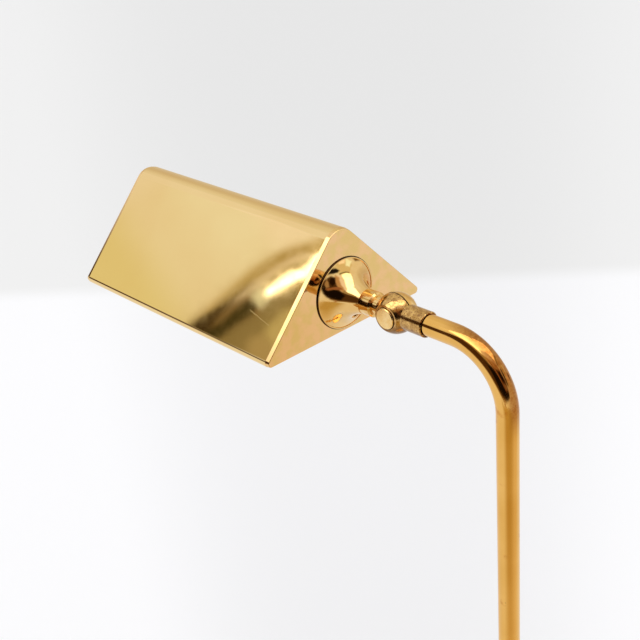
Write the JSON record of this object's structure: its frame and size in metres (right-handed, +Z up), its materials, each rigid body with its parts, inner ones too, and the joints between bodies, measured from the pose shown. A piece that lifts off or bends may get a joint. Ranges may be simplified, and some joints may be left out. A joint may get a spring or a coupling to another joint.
{
  "type": "adjustable table lamp",
  "caption": "Brass table lamp: tent-shaped shade on a split-ball knuckle, bent tube arm that slides and turns in a clamped post, round weighted base with a push switch.",
  "frame": {"origin": "centre of the base's underside, on the post's axis", "axes": "+Z up the post; at rest the arm and the shade reach along -X, and the knuckle's pin lies along Y"},
  "size_m": [0.3335, 0.17, 0.4521],
  "materials": {
    "polished_brass": "mirror polished, lacquered",
    "knuckle_brass": "turned, tarnished",
    "tube_brass": "polished drawn tube with amber lacquer",
    "base_brass": "spun and polished",
    "thread_brass": "machined",
    "zinc_steel": "zinc plated",
    "grey_iron": "as cast",
    "green_felt": "pressed wool felt",
    "natural_nylon": "moulded",
    "red_fibre": "pressed fibre",
    "black_phenolic": "moulded",
    "white_porcelain": "glazed",
    "lamp_metal": "pressed",
    "pearl_glass": "frosted inside"
  },
  "bodies": {
    "base": {"felt_pad": "green_felt", "base_weight": "grey_iron", "base_cover": "base_brass", "cord_bush": "black_phenolic", "switch_body": "black_phenolic", "switch_nut": "base_brass", "post_stud": "base_brass", "post_washer": "zinc_steel", "post_nut": "zinc_steel", "post_flange": "base_brass", "post_tube": "tube_brass", "clamp_collar": "base_brass", "clamp_pad": "natural_nylon"},
    "thumbscrew": {"thumbscrew": "base_brass"},
    "switch_button": {"switch_button": "black_phenolic"},
    "guide": {"guide_bush": "natural_nylon"},
    "arm": {"arm_tube": "tube_brass", "arm_end_ring": "tube_brass", "arm_knuckle": "knuckle_brass", "pivot_screw": "knuckle_brass", "friction_washer": "red_fibre", "spring_washer": "zinc_steel", "pivot_nut": "zinc_steel"},
    "shade": {"shade_knuckle": "knuckle_brass", "bell": "polished_brass", "nipple": "thread_brass", "near_end_cap": "polished_brass", "far_end_cap": "polished_brass", "shade_sheet": "polished_brass", "backing_washer": "zinc_steel", "locknut": "zinc_steel", "holder_cap": "black_phenolic", "holder_skirt": "black_phenolic", "holder_core": "white_porcelain", "holder_shell": "thread_brass", "holder_contact": "thread_brass", "lamp_cap": "lamp_metal", "lamp_glass": "pearl_glass"}
  },
  "joints": [
    {"name": "arm_height", "type": "slide", "parent": "base", "child": "guide", "axis": [0, 0, 1], "range_m": [-0.06, 0.08]},
    {"name": "arm_swivel", "type": "hinge", "parent": "guide", "child": "arm", "pos_m": [0, 0, 0.2], "axis": [0, 0, 1], "range_deg": [-160, 160]},
    {"name": "shade_tilt", "type": "hinge", "parent": "arm", "child": "shade", "pos_m": [-0.0617, 0, 0.42], "axis": [0, 1, 0], "range_deg": [-90, 90]},
    {"name": "clamp_screw", "type": "hinge", "parent": "base", "child": "thumbscrew", "pos_m": [0.015, 0, 0.246], "axis": [1, 0, 0], "range_deg": [0, 180]},
    {"name": "switch_press", "type": "slide", "parent": "base", "child": "switch_button", "axis": [0, 0, -1], "range_m": [0, 0.0025], "stiffness_N_per_m": 600}
  ]
}
